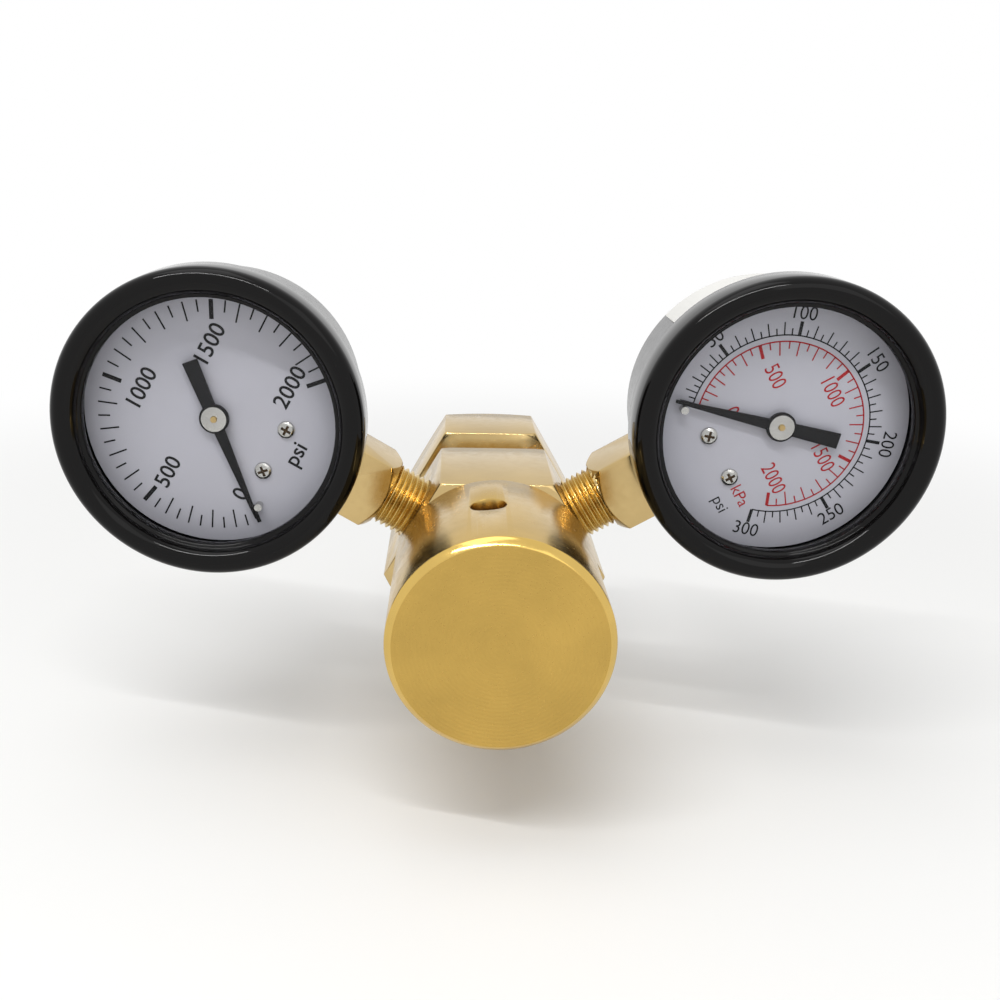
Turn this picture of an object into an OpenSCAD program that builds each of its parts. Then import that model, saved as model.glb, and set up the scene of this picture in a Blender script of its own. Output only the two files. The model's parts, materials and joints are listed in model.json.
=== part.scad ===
// Two-gauge carbon dioxide regulator, preset, for a gas cylinder.
// Millimetres, +Z up. Y is the axis of the body, and +Y points to the cylinder valve.
// The origin is the centre of the sealing washer's outer face, where the valve seats.

/* [Inlet] */
// Width across the flats of the inlet nut
nut_af = 28.6; // [27:0.1:34]
// Length of the inlet nut
nut_len = 16; // [15:0.5:24]
// How far the nut reaches past the sealing face
nut_reach = 9; // [7:0.5:11]
// Radius of the nut's threaded hole, at its crests
nut_thread_r = 9.65; // [9.3:0.05:10.2]
// Thickness of the nut's front wall, which pulls on the nipple
nut_wall = 2.8; // [2:0.1:3.6]
// From the sealing face to the back of the body
nipple_reach = 20.4; // [18:0.1:30]
// Radius of the inlet nipple's shank
nipple_r = 5.55; // [5:0.05:6.5]
// Radius of the nipple's thread in the body
nipple_thread_r = 6.86; // [6.5:0.02:7.2]
// Depth of the nipple's thread in the body
nipple_depth = 8.8; // [7:0.1:9.5]
// Thickness of the sealing washer
washer_t = 2; // [1:0.1:3]
// Radius of the gas passage
gas_r = 1.6; // [1:0.1:2.4]

/* [Body] */
// Width across the flats of the body
body_af = 30.2; // [28:0.1:38]
// Length of the body's hexagon
body_len = 21.8; // [20:0.1:32]
// From the body's front face to the gauge ports
port_setback = 11.6; // [10:0.1:12.4]
// Length of the spigot that carries the bonnet
spigot_len = 6; // [5:0.1:8]
// Radius of the low-pressure chamber
chamber_r = 9.5; // [9.2:0.1:10]
// Radius of the high-pressure chamber
high_r = 4.2; // [4:0.1:4.6]

/* [Bonnet] */
// Radius of the bonnet
bonnet_r = 15.875; // [15.6:0.025:19]
// Length of the bonnet
bonnet_len = 27; // [24:0.5:45]
// Thickness of the bonnet's closed end
bonnet_end = 4; // [2.5:0.1:5]
// Thickness of the bonnet's wall at its thread
bonnet_wall = 2.575; // [2.2:0.025:4]
// Width of the bonnet's front chamfer
bonnet_chamfer = 1; // [0.5:0.1:2]
// Radius of the vent hole
vent_r = 2.6; // [1:0.1:3]
// Lean of the vent hole from upright, degrees
vent_lean = -6; // [-15:1:15]

/* [Diaphragm and spring] */
// Thickness of the diaphragm
diaphragm_t = 1; // [0.6:0.1:1.4]
// Thickness of the slip ring
slip_t = 0.8; // [0.5:0.1:1.2]
// Radius of the range spring to the middle of its wire
range_spring_r = 7; // [6.8:0.1:7.4]
// Radius of the range spring's wire
range_wire_r = 1.1; // [0.6:0.05:1.15]
// How far the valve opens
lift = 0.8; // [0.4:0.05:1]

/* [Outlet] */
// Radius of the outlet's thread
outlet_thread_r = 6.65; // [6:0.05:6.8]
// Width across the flats of the outlet fitting
outlet_af = 14.3; // [13.4:0.1:17]
// Length of the hose barb under its hexagon
barb_len = 12.4; // [12:0.1:24]
// Radius over the barb's crests
barb_r = 4.5; // [4:0.05:6]

/* [Gauges] */
// From the body's axis to a gauge's centre
gauge_reach = 49.2; // [48:0.1:70]
// Lean of the gauge stems from upright, degrees
stem_lean = 60; // [60:1:60]
// Radius of the bezel
bezel_r = 22.9; // [22.6:0.05:26]
// Radius of the opening in the bezel
opening_r = 18.5; // [17:0.1:19.2]
// Radius of the case
case_r = 20.6; // [20.4:0.05:21]
// Thickness of the case's steel
case_t = 0.7; // [0.4:0.05:1]
// From the stem's axis to the case's back
case_back = 9.5; // [9:0.1:14]
// Width across the flats of the square stem
stem_af = 11.1; // [9:0.1:12]
// How far the square stem stands out of the case
stem_square = 8.2; // [6:0.1:12]
// Radius of the stem's thread
stem_thread_r = 5.12; // [4.8:0.02:5.3]
// Pointer's clockwise angle at rest from 12 o'clock, high-pressure gauge
high_zero = 220; // [210:1:230]
// Pointer's clockwise angle at rest from 12 o'clock, low-pressure gauge
low_zero = 223; // [210:1:230]
// Length of the pointer's needle
needle_len = 16.6; // [13:0.1:17]
// Length of the pointer's tail
tail_len = 9.2; // [6:0.1:9.2]

/* [Movement] */
// Gear module of the pinion and the sector
gear_m = 0.25; // [0.22:0.01:0.26]
// Teeth on the pinion
pinion_teeth = 12; // [12:1:14]
// Teeth that a whole circle of the sector would have
sector_teeth = 84; // [80:1:84]

/* [Hidden] */
$fn = 96;

// Overshoot of a cut, and the clearances between pieces
cut = 0.5;
thread_gap = 0.03;
running_gap = 0.05;
loose_gap = 0.3;

brass = "#C9A65A";
steel = "#B9BBBD";
black = "#17181A";
rubber = "#2A2B2C";

// Places along the body's axis
body_back = -nipple_reach;
body_front = body_back - body_len;
spigot_front = body_front - spigot_len;
port_y = body_front + port_setback;
bonnet_front = body_front - bonnet_len;
spring_end = bonnet_front + bonnet_end;
diaphragm_front = spigot_front - diaphragm_t;
slip_front = diaphragm_front - slip_t;
nut_back = nut_reach;
nut_front = nut_reach - nut_len;
nut_bearing = nut_front + nut_wall;
nipple_end = body_back - nipple_depth;

// Radii that follow from the driving ones
spigot_r = bonnet_r - bonnet_wall - thread_gap;
diaphragm_r = spigot_r - 0.2;
cavity_r = 11;
slip_inner_r = 10;
shoulder_r = nut_thread_r - 0.85;
nut_relief = 0.6;

// Valve between the two chambers
nozzle_r = 5;
nozzle_len = 5;
nozzle_head_r = 6.6;
nozzle_head_t = 1.5;
orifice_r = 1.3;
lip_r = 2;
lip_t = 0.4;
seal_section_r = 0.45;
seal_groove = 0.9;
nozzle_back = body_front + nozzle_len;
seat_gap = 0.02;
poppet_front = nozzle_back + lip_t + lift + seat_gap;
poppet_seal_t = 1;
poppet_seal_r = 2.6;
poppet_len = 3.4;
poppet_tail = 1.2;
poppet_r = 3.6;
stem_pin_r = 0.8;
plate_stud = 1.2;
plate_stud_r = 2;
plate_r = 8.5;
plate_t = 2;
guide_r = 5.5;
guide_len = 2;
button_r = 9;
button_t = 1.5;
filter_r = 3.6;
filter_t = 2.5;

// Passages from the chambers to the ports
flat_r = body_af / 2;
gauge_port_depth = 7;
outlet_port_depth = 6.5;
passage_r = 1.1;
passage_reach = chamber_r - passage_r - 0.3;
high_passage_y = port_y - 2.2;

// Outlet fitting
outlet_hex = 5.5;
barb_root_r = barb_r - 0.9;
barb_land = 0.8;
barb_pitch = 3.6;
barbs = 3;
outlet_bore_r = 2.4;

// Gauge, in its own frame: Z to 12 o'clock, Y to the back, the stem's axis at y = 0
bezel_front = -17.2;
bezel_back = -9.5;
bezel_t = 0.9;
window_front = -13.7;
window_t = 1.5;
gasket_t = 0.7;
case_front = window_front + window_t + gasket_t;
flange_t = 1;
flange_r = bezel_r - bezel_t - running_gap;
case_inner = case_r - case_t;
dial_front = -10;
dial_t = 0.5;
dial_r = case_inner - loose_gap;
socket_end = case_r + stem_square;
stem_turned = 0.3 * stem_af;
stem_end = gauge_reach - flat_r + gauge_port_depth - loose_gap;
block_top = 14.5;
tongue_w = 10;
tongue_top = 8;
tongue_back = 3;

// Dial screws, either side of 6 o'clock
screw_ring_r = 10.7;
screw_half_angle = 20.4;
screw_head_r = 1.35;
screw_head_t = 0.6;
screw_r = 0.7;
boss_r = 1.4;

// Pointer
pointer_front = -11.2;
pointer_t = 0.4;
hub_r = 1.9;
pointer_ring_r = 2.25;
needle_root = 1.9;
needle_tip = 0.5;
tail_tip = 2.4;
stop_r = 0.6;
stop_ring_r = 15;
stop_gap = 0.05;

// Movement
front_plate_front = -6.5;
movement_plate_t = 0.6;
back_plate_front = -1.2;
movement_r = 12;
movement_top = 7.5;
arbor_r = 0.45;
sector_shaft_r = 0.4;
pinion_r = gear_m * pinion_teeth / 2;
sector_r = gear_m * sector_teeth / 2;
pressure_angle = 20;
tooth_share = 0.86;
pivot_angle = -62;
pivot_reach = pinion_r + sector_r;
pivot = pivot_reach * [cos(pivot_angle), sin(pivot_angle)];
sector_front = -4.2;
sector_t = 0.8;
sector_rim = 1.6;
sector_hub_r = 1.3;
tooth_first = -11;
tooth_last = 2;
pillar_r = 0.9;
pillars_at = [[-7.9, -7.1], [-3.6, 3.6], [9.5, 3.5]];
tail_arm = 3.2;
tail_angle = -19.5;
tail_end = pivot + tail_arm * [cos(tail_angle), sin(tail_angle)];
pin_r = 0.3;
open_pin_gap = 0.25;
link_front = -3.2;
link_t = 0.5;
link_half = 0.75;
link_eye_r = 1.05;
collet_r = 0.9;
hairspring_front = -2.5;
hairspring_t = 0.15;
hairspring_h = 0.8;
hairspring_turns = 3.5;

// Bourdon tube and its tip
tube_r = 15.5;
tube_radial = 2.4;
tube_wide = 5.5;
tube_wall = 0.35;
tube_start = -108;
tube_end = -350;
tip_pin = [12.9, -0.9];

// Pieces of the outline maths
function on_circle(r, a) = [r * cos(a), r * sin(a)];
function involute(r, base) = let (t = sqrt(max(0, pow(r / base, 2) - 1))) t * 180 / PI - atan(t);
function tooth_half(r, pitch, teeth) =
    let (base = pitch * cos(pressure_angle))
    90 / teeth * tooth_share + involute(pitch, base) - involute(max(r, base), base);
function tooth_radii(pitch) =
    [for (step = [-1.15, -0.6, -0.2, 0.25, 0.8]) pitch + step * gear_m];
function tooth(pitch, teeth, middle) = [
    for (r = tooth_radii(pitch)) on_circle(r, middle - tooth_half(r, pitch, teeth)),
    for (i = [4:-1:0])
        let (r = tooth_radii(pitch)[i]) on_circle(r, middle + tooth_half(r, pitch, teeth))
];

// Helpers along the body's axis
module from_y(y) translate([0, y, 0]) rotate([-90, 0, 0]) children();
module rod(r, y0, y1) from_y(y0) cylinder(r = r, h = y1 - y0);
module ring(outer, inner, y0, y1) difference() {
    rod(outer, y0, y1);
    rod(inner, y0 - cut, y1 + cut);
}
module lathe(points) rotate([-90, 0, 0]) rotate_extrude() polygon(points);
module slab(y0, y1) translate([0, y1, 0]) rotate([90, 0, 0]) linear_extrude(y1 - y0) children();

// Hexagonal bar along Y, flat on top, its corners turned off at 30 degrees to each end
module hex_bar(af, y0, y1, nip0, nip1) {
    corner = af / sqrt(3);
    intersection() {
        from_y(y0) cylinder(r = corner, h = y1 - y0, $fn = 6);
        lathe([
            [0, y0], [corner - nip0, y0], [corner + cut, y0 + (nip0 + cut) * tan(30)],
            [corner + cut, y1 - (nip1 + cut) * tan(30)], [corner - nip1, y1], [0, y1]
        ]);
    }
}

// A spring along Y, its wire swept as flats
module spring(mean_r, wire_r, y0, y1, turns, steps) {
    sides = 8;
    last = turns * steps;
    rise = (y1 - y0 - 2 * wire_r) / last;
    points = [
        for (i = [0:last], j = [0:sides - 1])
            let (a = 360 * i / steps, b = 360 * j / sides, r = mean_r + wire_r * cos(b))
            [r * cos(a), y0 + wire_r + i * rise + wire_r * sin(b), r * sin(a)]
    ];
    walls = [
        for (i = [0:last - 1], j = [0:sides - 1])
            let (k = (j + 1) % sides, here = i * sides, there = here + sides)
            each [[here + j, there + j, there + k], [here + j, there + k, here + k]]
    ];
    ends = [
        [for (j = [0:sides - 1]) j],
        [for (j = [sides - 1:-1:0]) last * sides + j]
    ];
    polyhedron(points, concat(walls, ends), convexity = 8);
}

// Places its children, drawn about a gauge's centre, at the left (-1) or right (1) gauge
module at_gauge(side)
    translate([0, port_y, 0])
        rotate([0, side * stem_lean, 0])
            translate([0, 0, gauge_reach])
                children();

// Turns its children clockwise, as seen from the front, about the gauge's centre
module clockwise(angle) rotate([0, angle, 0]) children();

function zero_of(side) = side < 0 ? high_zero : low_zero;

// Regulator

module port(side, r, depth) {
    translate([0, port_y, 0])
        rotate([0, side * stem_lean, 0])
            translate([0, 0, flat_r - depth])
                cylinder(r = r, h = depth + cut);
}

module body() color(brass) difference() {
    union() {
        hex_bar(body_af, body_front, body_back, 0.8, 0.8);
        rod(spigot_r, spigot_front, body_front + cut);
    }
    rod(chamber_r, spigot_front - cut, body_front);
    rod(nozzle_r + thread_gap, body_front - cut, nozzle_back);
    rod(nozzle_r + 2 * seal_section_r + 0.2, body_front - cut, body_front + seal_groove);
    rod(high_r, nozzle_back - cut, nipple_end + cut);
    rod(nipple_thread_r + thread_gap, nipple_end, body_back + cut);
    for (side = [-1, 1]) port(side, stem_thread_r + thread_gap, gauge_port_depth);
    // High-pressure passage to the left gauge, low-pressure ones to the right gauge and the outlet
    translate([0, high_passage_y, 0])
        rotate([0, -stem_lean, 0])
            translate([0, 0, high_r - cut])
                cylinder(r = passage_r, h = flat_r - high_r - gauge_port_depth + 2 * cut);
    for (a = [stem_lean, 180])
        rotate([0, a, 0])
            translate([0, 0, passage_reach])
                rod(passage_r, body_front - cut, port_y);
    translate([0, port_y, -flat_r - cut])
        cylinder(r = outlet_thread_r + thread_gap, h = outlet_port_depth + cut);
}

module bonnet() color(brass) difference() {
    lathe([
        [0, bonnet_front], [bonnet_r - bonnet_chamfer, bonnet_front],
        [bonnet_r, bonnet_front + bonnet_chamfer], [bonnet_r, body_front], [0, body_front]
    ]);
    rod(spigot_r + thread_gap, slip_front, body_front + cut);
    rod(cavity_r, spring_end, slip_front + cut);
    translate([0, slip_front - 4.2, 0])
        rotate([0, vent_lean, 0])
            translate([0, 0, cavity_r - 2])
                cylinder(r = vent_r, h = bonnet_r);
}

module spring_button() color(brass) {
    rod(button_r, spring_end, spring_end + button_t);
    rod(guide_r, spring_end, spring_end + button_t + guide_len);
}

module range_spring() color(steel)
    spring(range_spring_r, range_wire_r, spring_end + button_t, diaphragm_front - plate_t, 4, 24);

module diaphragm_plate() color(brass) {
    rod(plate_r, diaphragm_front - plate_t, diaphragm_front);
    rod(guide_r, diaphragm_front - plate_t - guide_len, diaphragm_front);
    rod(plate_stud_r, diaphragm_front - cut, spigot_front + plate_stud);
}

module slip_ring() color(steel) ring(diaphragm_r, slip_inner_r, slip_front, diaphragm_front);

module diaphragm() color(rubber) ring(diaphragm_r, plate_stud_r, diaphragm_front, spigot_front);

module seat_nozzle() color(brass) difference() {
    union() {
        rod(nozzle_head_r, body_front - nozzle_head_t, body_front);
        rod(nozzle_r, body_front - cut, nozzle_back);
        rod(lip_r, nozzle_back - cut, nozzle_back + lip_t);
    }
    rod(orifice_r, body_front - nozzle_head_t - cut, nozzle_back + lip_t + cut);
}

module nozzle_seal() color(rubber)
    from_y(body_front + seal_section_r)
        rotate_extrude()
            translate([nozzle_r + seal_section_r + 0.1, 0])
                circle(r = seal_section_r, $fn = 24);

// Poppet: a hexagon, so that gas passes along its flats, with a pin that the diaphragm pushes
module poppet() color(brass) difference() {
    union() {
        from_y(poppet_front + 0.4) cylinder(r = poppet_r, h = poppet_len - 0.4, $fn = 6);
        rod(stem_pin_r, spigot_front + plate_stud + seat_gap, poppet_front + poppet_len);
        rod(stem_pin_r + 0.6, poppet_front + poppet_len - cut, poppet_front + poppet_len + poppet_tail);
    }
    ring(poppet_seal_r, stem_pin_r, poppet_front - cut, poppet_front + poppet_seal_t);
}

module poppet_seal() color(rubber)
    ring(poppet_seal_r, stem_pin_r, poppet_front, poppet_front + poppet_seal_t);

module poppet_spring() color(steel)
    spring(2.3, 0.25, poppet_front + poppet_len, nipple_end, 4, 16);

module inlet_filter() color("#A9793C") rod(filter_r, nipple_end, nipple_end + filter_t);

module inlet_nipple() color(brass) difference() {
    union() {
        rod(nipple_thread_r, nipple_end, body_back + cut);
        hex_bar(17.5, body_back, body_back + 5, 0.5, 1);
        rod(nipple_r, body_back, -washer_t - cut);
        rod(shoulder_r, nut_bearing + running_gap, -washer_t);
        rod(nipple_r - 1.6, -washer_t - cut, -0.4);
    }
    rod(gas_r, nipple_end, -0.4 + cut);
    rod(filter_r, nipple_end - cut, nipple_end + filter_t);
}

module sealing_washer() color("#E8E4D8") ring(shoulder_r - 0.2, nipple_r - 1.6, -washer_t, 0);

module inlet_nut() color(brass) difference() {
    hex_bar(nut_af, nut_front, nut_back, 1, 2.6);
    rod(nipple_r + running_gap, nut_front - cut, nut_bearing + cut);
    rod(nut_thread_r + nut_relief, nut_bearing, 0);
    rod(nut_thread_r, -cut, nut_back + cut);
    from_y(nut_back - 1) cylinder(r1 = nut_thread_r, r2 = nut_thread_r + 1.6, h = 1.6);
}

module outlet_barb() color(brass) translate([0, port_y, -flat_r]) difference() {
    union() {
        cylinder(r = outlet_thread_r, h = outlet_port_depth - loose_gap);
        translate([0, 0, -outlet_hex]) cylinder(r = outlet_af / sqrt(3), h = outlet_hex, $fn = 6);
        translate([0, 0, -outlet_hex - barb_len]) cylinder(r = barb_root_r, h = barb_len + cut);
        for (i = [0:barbs - 1]) translate([0, 0, -outlet_hex - barb_len + i * barb_pitch]) {
            cylinder(r1 = barb_root_r, r2 = barb_r, h = barb_pitch - barb_land - 0.4);
            translate([0, 0, barb_pitch - barb_land - 0.4]) cylinder(r = barb_r, h = barb_land);
        }
    }
    translate([0, 0, -outlet_hex - barb_len - cut])
        cylinder(r = outlet_bore_r, h = barb_len + outlet_hex + outlet_port_depth + 2 * cut);
}

// Gauges: every module draws the piece in the gauge's own frame

module tube_arc(from, to, radial, wide) {
    rotate([90, 0, 0])
        rotate([0, 0, to])
            rotate_extrude(angle = from - to)
                translate([tube_r, 0])
                    square([radial, wide], center = true);
}

module socket() color(brass) difference() {
    union() {
        // Square stem through the case, its corners turned off where the thread starts
        intersection() {
            translate([-stem_af / 2, -stem_af / 2, -socket_end])
                cube([stem_af, stem_af, socket_end - block_top]);
            translate([0, 0, -socket_end]) {
                cylinder(r1 = stem_af / 2, r2 = stem_af / 2 + stem_turned, h = stem_turned * tan(35));
                translate([0, 0, stem_turned * tan(35)]) cylinder(r = stem_af, h = socket_end);
            }
        }
        translate([-tongue_w / 2, back_plate_front + movement_plate_t, -block_top - cut])
            cube([tongue_w, tongue_back - back_plate_front - movement_plate_t, block_top - tongue_top + cut]);
        translate([0, 0, -stem_end]) cylinder(r = stem_thread_r, h = stem_end - socket_end + cut);
    }
    translate([0, 0, -stem_end - cut]) cylinder(r = 1.2, h = stem_end - block_top - 1);
    tube_arc(tube_start, tube_start - 12, tube_radial, tube_wide);
}

module gauge_case() color(black) difference() {
    lathe([
        [0, case_back], [case_r - 2, case_back], [case_r - 0.6, case_back - 0.6],
        [case_r, case_back - 2], [case_r, case_front + flange_t], [flange_r, case_front + flange_t],
        [flange_r, case_front], [case_inner, case_front], [case_inner, case_back - 2],
        [case_inner - 1.4, case_back - case_t], [0, case_back - case_t]
    ]);
    translate([-stem_af / 2 - running_gap, -stem_af / 2 - running_gap, -case_r - cut])
        cube([stem_af + 2 * running_gap, stem_af + 2 * running_gap, 4]);
}

module bezel() color(black) {
    lip = flange_r + running_gap;
    lathe([
        [opening_r, window_front - 0.7], [opening_r + 0.4, window_front - 1.5],
        [bezel_r - 2.4, bezel_front + 0.1], [bezel_r - 1.7, bezel_front],
        [bezel_r - 0.9, bezel_front + 0.25], [bezel_r - 0.3, bezel_front + 0.8],
        [bezel_r, bezel_front + 1.7], [bezel_r, bezel_back],
        [case_r + running_gap, bezel_back], [case_r + running_gap, case_front + flange_t + running_gap],
        [lip, case_front + flange_t + running_gap], [lip, window_front], [opening_r, window_front]
    ]);
}

module window() color("#DDE6EA", 0.35) rod(flange_r, window_front, window_front + window_t);

module gasket() color(rubber)
    ring(flange_r, opening_r + 0.9, window_front + window_t, case_front);

module at_screws()
    for (s = [-1, 1])
        clockwise(180 + s * screw_half_angle)
            translate([0, 0, screw_ring_r])
                children();

module dial(side) color("#EDEDF2") difference() {
    rod(dial_r, dial_front, dial_front + dial_t);
    rod(1, dial_front - cut, dial_front + dial_t + cut);
    at_screws() rod(screw_r, dial_front - cut, dial_front + dial_t + cut);
    at_stop(side) rod(stop_r, dial_front - cut, dial_front + dial_t + cut);
}

// The stop pin stands just behind the resting pointer
module at_stop(side) {
    half_needle = needle_tip / 2 + (needle_root - needle_tip) / 2 * (1 - stop_ring_r / needle_len);
    back_off = asin((half_needle + stop_r + stop_gap) / stop_ring_r);
    clockwise(zero_of(side) - back_off) translate([0, 0, stop_ring_r]) children();
}

module stop_pin(side) color(steel)
    at_stop(side) rod(stop_r, pointer_front - 0.5, dial_front + dial_t);

module dial_screws() color(steel) at_screws() difference() {
    union() {
        lathe([
            [0, dial_front - screw_head_t], [screw_head_r - 0.5, dial_front - screw_head_t],
            [screw_head_r - 0.1, dial_front - screw_head_t + 0.25], [screw_head_r, dial_front],
            [0, dial_front]
        ]);
        rod(screw_r, dial_front - 0.1, front_plate_front - 0.5);
    }
    for (a = [0, 90])
        rotate([0, a + 20, 0])
            translate([-0.8, dial_front - screw_head_t - cut, -0.2])
                cube([1.6, cut + 0.35, 0.4]);
}

module front_plate() color(brass) difference() {
    union() {
        movement_plate(front_plate_front);
        at_screws() rod(boss_r, dial_front + dial_t, front_plate_front + 0.1);
    }
    rod(arbor_r + running_gap, front_plate_front - cut, front_plate_front + movement_plate_t + cut);
    sector_pivot_hole(front_plate_front);
    at_screws() rod(screw_r, dial_front, front_plate_front + movement_plate_t + cut);
}

module back_plate() color(brass) difference() {
    movement_plate(back_plate_front);
    rod(arbor_r + running_gap, back_plate_front - cut, back_plate_front + movement_plate_t + cut);
    sector_pivot_hole(back_plate_front);
}

module movement_plate(y) slab(y, y + movement_plate_t) {
    intersection() {
        circle(r = movement_r);
        translate([-movement_r, -movement_r]) square([2 * movement_r, movement_r + movement_top]);
    }
    translate(pivot) circle(r = 1.8);
}

module sector_pivot_hole(y)
    translate([pivot.x, 0, pivot.y])
        rod(sector_shaft_r + running_gap, y - cut, y + movement_plate_t + cut);

module pillars() color(brass)
    for (p = pillars_at)
        translate([p.x, 0, p.y])
            rod(pillar_r, front_plate_front + movement_plate_t, back_plate_front);

module pointer(side) color(black) clockwise(zero_of(side)) difference() {
    union() {
        rod(pointer_ring_r, pointer_front - 0.1, pointer_front + pointer_t);
        slab(pointer_front, pointer_front + pointer_t - 0.1)
            polygon([
                [-needle_root / 2, 0], [-needle_tip / 2, needle_len], [needle_tip / 2, needle_len],
                [needle_root / 2, 0], [tail_tip / 2, -tail_len], [-tail_tip / 2, -tail_len]
            ]);
    }
    rod(hub_r - 0.6, pointer_front - cut, pointer_front + pointer_t + cut);
}

module pointer_hub() color(steel) difference() {
    union() {
        rod(hub_r, pointer_front - 0.4, pointer_front - 0.1);
        rod(hub_r - 0.6, pointer_front - 0.2, dial_front - 0.3);
    }
    rod(arbor_r, pointer_front - 1, dial_front);
}

module pinion() color(brass) {
    rod(arbor_r, pointer_front - 0.6, back_plate_front + movement_plate_t);
    slab(sector_front - 0.4, sector_front + sector_t + 0.4)
        polygon([
            for (k = [0:pinion_teeth - 1])
                each tooth(pinion_r, pinion_teeth, pivot_angle + (k + 0.5) * 360 / pinion_teeth)
        ]);
    rod(collet_r, hairspring_front, hairspring_front + hairspring_h);
}

module hairspring() {
    outer = norm(pillars_at[1]) - pillar_r;
    steps = 24 * hairspring_turns;
    inner_line = collet_r + 0.05 + hairspring_t / 2;
    outer_line = outer - 0.05 - hairspring_t / 2;
    function along(i, side) = on_circle(
        inner_line + (outer_line - inner_line) * i / steps + side * hairspring_t / 2,
        135 + 360 * hairspring_turns * (i / steps - 1));
    color("#C58A4A") slab(hairspring_front, hairspring_front + hairspring_h)
        polygon(concat(
            [for (i = [0:steps]) along(i, 1)],
            [for (i = [steps:-1:0]) along(i, -1)]));
}

module sector() color(brass) difference() {
    union() {
        slab(sector_front, sector_front + sector_t) {
            translate(pivot) {
                polygon(concat(
                    [
                        for (k = [tooth_first:tooth_last])
                            each tooth(sector_r, sector_teeth, pivot_angle + 180 + k * 360 / sector_teeth)
                    ],
                    [
                        for (k = [tooth_last:-1:tooth_first])
                            on_circle(sector_r - sector_rim, pivot_angle + 180 + k * 360 / sector_teeth)
                    ]));
                circle(r = sector_hub_r);
                for (k = [tooth_first + 1, tooth_last - 1])
                    rotate(pivot_angle + 180 + k * 360 / sector_teeth)
                        translate([0, -0.5])
                            square([sector_r - sector_rim + 0.3, 1]);
                rotate(tail_angle) translate([0, -0.6]) square([tail_arm, 1.2]);
            }
            translate(tail_end) circle(r = 0.8);
        }
        translate([pivot.x, 0, pivot.y])
            rod(sector_shaft_r, front_plate_front, back_plate_front + movement_plate_t);
        translate([tail_end.x, 0, tail_end.y])
            rod(pin_r, sector_front, link_front + link_t + 0.1);
    }
}

module link() color(steel) difference() {
    span = tip_pin - tail_end;
    slab(link_front, link_front + link_t) {
        translate(tail_end) circle(r = link_eye_r);
        translate(tip_pin) circle(r = link_eye_r - 0.2);
        translate(tail_end)
            rotate(atan2(span.y, span.x))
                translate([0, -link_half / 2])
                    square([norm(span), link_half]);
    }
    translate([tail_end.x, 0, tail_end.y])
        rod(pin_r + open_pin_gap, link_front - cut, link_front + link_t + cut);
    translate([tip_pin.x, 0, tip_pin.y])
        rod(pin_r + running_gap, link_front - cut, link_front + link_t + cut);
}

// End piece that closes the tube, with a lug that carries the link's upper pin
module tube_tip() color(brass) {
    tube_arc(tube_end + 360, tube_end + 348, tube_radial, tube_wide);
    slab(link_front + link_t + 0.1, link_front + link_t + 0.9) {
        translate(tip_pin) circle(r = 0.8);
        translate([tip_pin.x, tip_pin.y - 0.8]) square([tube_r - tip_pin.x, 1.6]);
    }
    translate([tip_pin.x, 0, tip_pin.y]) rod(pin_r, link_front - 0.1, link_front + link_t + 0.5);
}

module bourdon_tube() color("#B5813F") difference() {
    tube_arc(tube_start, tube_end, tube_radial, tube_wide);
    tube_arc(tube_start + 1, tube_end + 3, tube_radial - 2 * tube_wall, tube_wide - 2 * tube_wall);
}

// Paper label on the case's side, over its top left as it hangs
module label() color("#F2F0F0") rotate([90, 0, 0]) rotate([0, 0, 142]) rotate_extrude(angle = 56)
    translate([case_r + 0.02, -case_back + 2.5]) square([0.12, case_back + 6]);

body();
bonnet();
range_spring();
spring_button();
slip_ring();
diaphragm();
diaphragm_plate();
seat_nozzle();
nozzle_seal();
poppet();
poppet_seal();
poppet_spring();
inlet_filter();
inlet_nipple();
sealing_washer();
inlet_nut();
outlet_barb();
at_gauge(-1) socket();  // left_socket
at_gauge(-1) gauge_case();  // left_case
at_gauge(-1) bezel();  // left_bezel
at_gauge(-1) window();  // left_window
at_gauge(-1) gasket();  // left_gasket
at_gauge(-1) dial(-1);  // left_dial
at_gauge(-1) dial_screws();  // left_dial_screws
at_gauge(-1) stop_pin(-1);  // left_stop_pin
at_gauge(-1) pointer(-1);  // left_pointer
at_gauge(-1) pointer_hub();  // left_pointer_hub
at_gauge(-1) pinion();  // left_pinion
at_gauge(-1) hairspring();  // left_hairspring
at_gauge(-1) front_plate();  // left_front_plate
at_gauge(-1) back_plate();  // left_back_plate
at_gauge(-1) pillars();  // left_pillars
at_gauge(-1) sector();  // left_sector
at_gauge(-1) link();  // left_link
at_gauge(-1) tube_tip();  // left_tube_tip
at_gauge(-1) bourdon_tube();  // left_bourdon_tube
at_gauge(1) socket();  // right_socket
at_gauge(1) gauge_case();  // right_case
at_gauge(1) bezel();  // right_bezel
at_gauge(1) window();  // right_window
at_gauge(1) gasket();  // right_gasket
at_gauge(1) dial(1);  // right_dial
at_gauge(1) dial_screws();  // right_dial_screws
at_gauge(1) stop_pin(1);  // right_stop_pin
at_gauge(1) pointer(1);  // right_pointer
at_gauge(1) pointer_hub();  // right_pointer_hub
at_gauge(1) pinion();  // right_pinion
at_gauge(1) hairspring();  // right_hairspring
at_gauge(1) front_plate();  // right_front_plate
at_gauge(1) back_plate();  // right_back_plate
at_gauge(1) pillars();  // right_pillars
at_gauge(1) sector();  // right_sector
at_gauge(1) link();  // right_link
at_gauge(1) tube_tip();  // right_tube_tip
at_gauge(1) bourdon_tube();  // right_bourdon_tube
at_gauge(1) label();  // right_label
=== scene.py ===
"""Looks of a two-gauge cylinder regulator: finishes, threads, dial printing, lights, camera."""

import json
import math

import bpy
from mathutils import Matrix, Vector


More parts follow.
